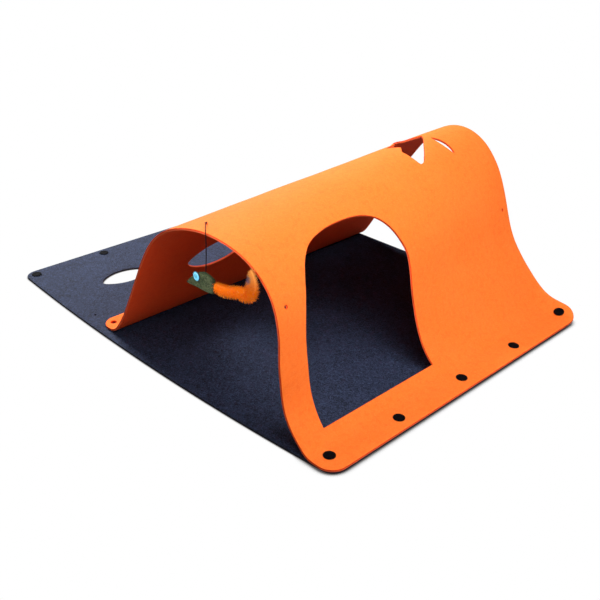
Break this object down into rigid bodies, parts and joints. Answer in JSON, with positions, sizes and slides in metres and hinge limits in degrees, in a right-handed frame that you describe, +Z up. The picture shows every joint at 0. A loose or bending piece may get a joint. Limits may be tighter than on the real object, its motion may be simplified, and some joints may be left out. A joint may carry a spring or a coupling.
{
  "type": "felt cat tunnel",
  "caption": "Arched felt cat tunnel on a flat felt mat, with a side door, leaf-shaped peep holes and a felt and plush fish hanging in the near mouth.",
  "frame": {"origin": "on the floor under the middle of the whole", "axes": "+X along the mat towards the fastened end, +Y along the tunnel from the near mouth with the fish to the far mouth, +Z up"},
  "size_m": [0.9, 0.7192, 0.3211],
  "materials": {
    "grey_felt": "heathered blue-grey needle felt with cut edges",
    "orange_felt": "orange needle felt with darker cut edges",
    "black_fastener": "black looped fastener disc",
    "green_felt": "heathered green felt",
    "blue_eye": "light blue felt disc with a dark rim",
    "orange_plush": "long-haired orange plush",
    "dark_cord": "dark covered elastic cord"
  },
  "bodies": {
    "root": {"felt_mat": "grey_felt", "tunnel_sheet": "orange_felt", "sheet_dot_1": "black_fastener", "sheet_dot_2": "black_fastener", "sheet_dot_3": "black_fastener", "sheet_dot_4": "black_fastener", "sheet_dot_5": "black_fastener", "mat_dot_1": "black_fastener", "mat_dot_2": "black_fastener", "mat_dot_3": "black_fastener", "mat_dot_4": "black_fastener", "mat_dot_5": "black_fastener", "toy_head": "green_felt", "toy_eye": "blue_eye", "toy_tail": "orange_plush", "toy_cord": "dark_cord", "cord_knot": "dark_cord"}
  },
  "joints": []
}
